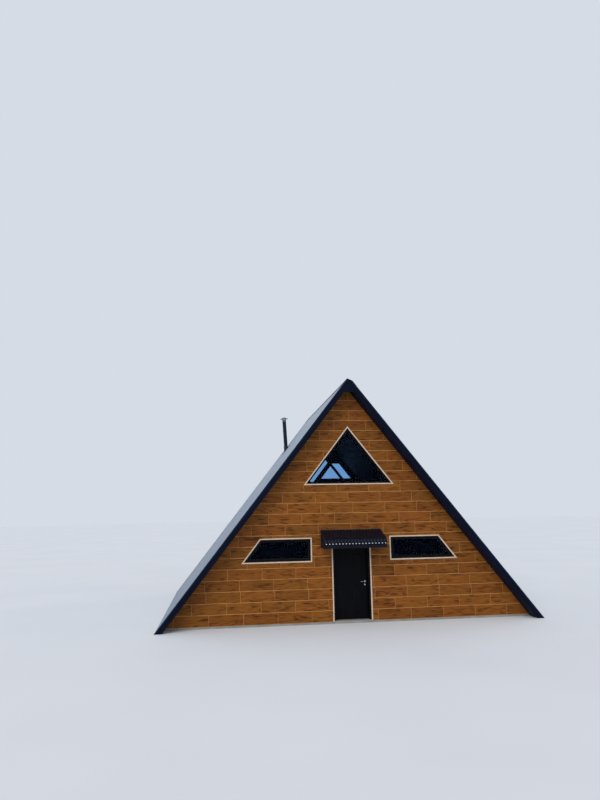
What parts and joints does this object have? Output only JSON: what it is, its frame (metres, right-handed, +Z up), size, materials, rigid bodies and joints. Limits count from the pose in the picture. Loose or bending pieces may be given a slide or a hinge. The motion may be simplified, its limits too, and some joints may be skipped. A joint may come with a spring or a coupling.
{
  "type": "a-frame cabin",
  "caption": "Steep two-slope cabin with tile-clad gables, triangular loft window, sloping side windows, canopied door and roof flue.",
  "frame": {"origin": "the middle of the cabin's footprint box, at the level of the ground", "axes": "+Z up, -Y out of the front gable, +X to the right as seen from the front"},
  "size_m": [10.9362, 8.8, 6.949],
  "materials": {
    "slab": "float-finished concrete",
    "loft_boards": "planed softwood boards",
    "cladding": "wood-look plank tiles in running bond with pale joints",
    "roof_deck": "painted softwood boards",
    "roof_sheet": "coated ribbed sheet, dull",
    "rake_board": "dark blue painted boards",
    "rake_trim": "dark coated folded sheet",
    "window_trim": "cream painted",
    "window_frame": "dark moulded profile",
    "window_glass": "clear double glazing",
    "door_paint": "dark blue-black gloss paint",
    "door_metal": "brushed",
    "threshold": "honed",
    "canopy_tile": "dark glazed small tiles",
    "flue_black": "heat-resistant black",
    "flue_steel": "weathered"
  },
  "bodies": {
    "cabin": {"ground_slab": "slab", "loft_floor": "loft_boards", "front_wall_left": "cladding", "front_wall_right": "cladding", "front_wall_lintel": "cladding", "front_wall_upper": "cladding", "back_wall_lower": "cladding", "back_wall_upper": "cladding", "roof_left": "roof_deck", "roof_right": "roof_deck", "roof_sheet_left": "roof_sheet", "roof_sheet_right": "roof_sheet", "ridge_cap": "rake_trim", "front_fascia_left": "rake_board", "front_fascia_right": "rake_board", "back_fascia_left": "rake_board", "back_fascia_right": "rake_board", "front_verge_left": "rake_trim", "front_verge_right": "rake_trim", "back_verge_left": "rake_trim", "back_verge_right": "rake_trim", "front_soffits": "rake_board", "back_soffits": "rake_board", "front_gable_window_trim": "window_trim", "front_gable_window_frame": "window_frame", "front_gable_window_glass": "window_glass", "back_gable_window_trim": "window_trim", "back_gable_window_frame": "window_frame", "back_gable_window_glass": "window_glass", "front_side_window_trims": "window_trim", "front_side_window_frames": "window_frame", "front_side_window_glass": "window_glass", "back_side_window_trims": "window_trim", "back_side_window_frames": "window_frame", "back_side_window_glass": "window_glass", "door_casing": "window_trim", "door_frame": "window_frame", "door_threshold": "threshold", "hinge_frame_halves": "door_metal", "canopy_frame": "rake_board", "canopy_roof": "canopy_tile", "flue_pipe": "flue_black", "flue_cap": "flue_steel", "flue_flashing": "flue_steel"},
    "door": {"door_leaf": "door_paint", "door_handle": "door_metal", "hinge_leaf_halves": "door_metal"}
  },
  "joints": [
    {"name": "door_hinge", "type": "hinge", "parent": "cabin", "child": "door", "pos_m": [-0.487, -3.451, 0.06], "axis": [0, 0, 1], "range_deg": [0, 95]}
  ]
}
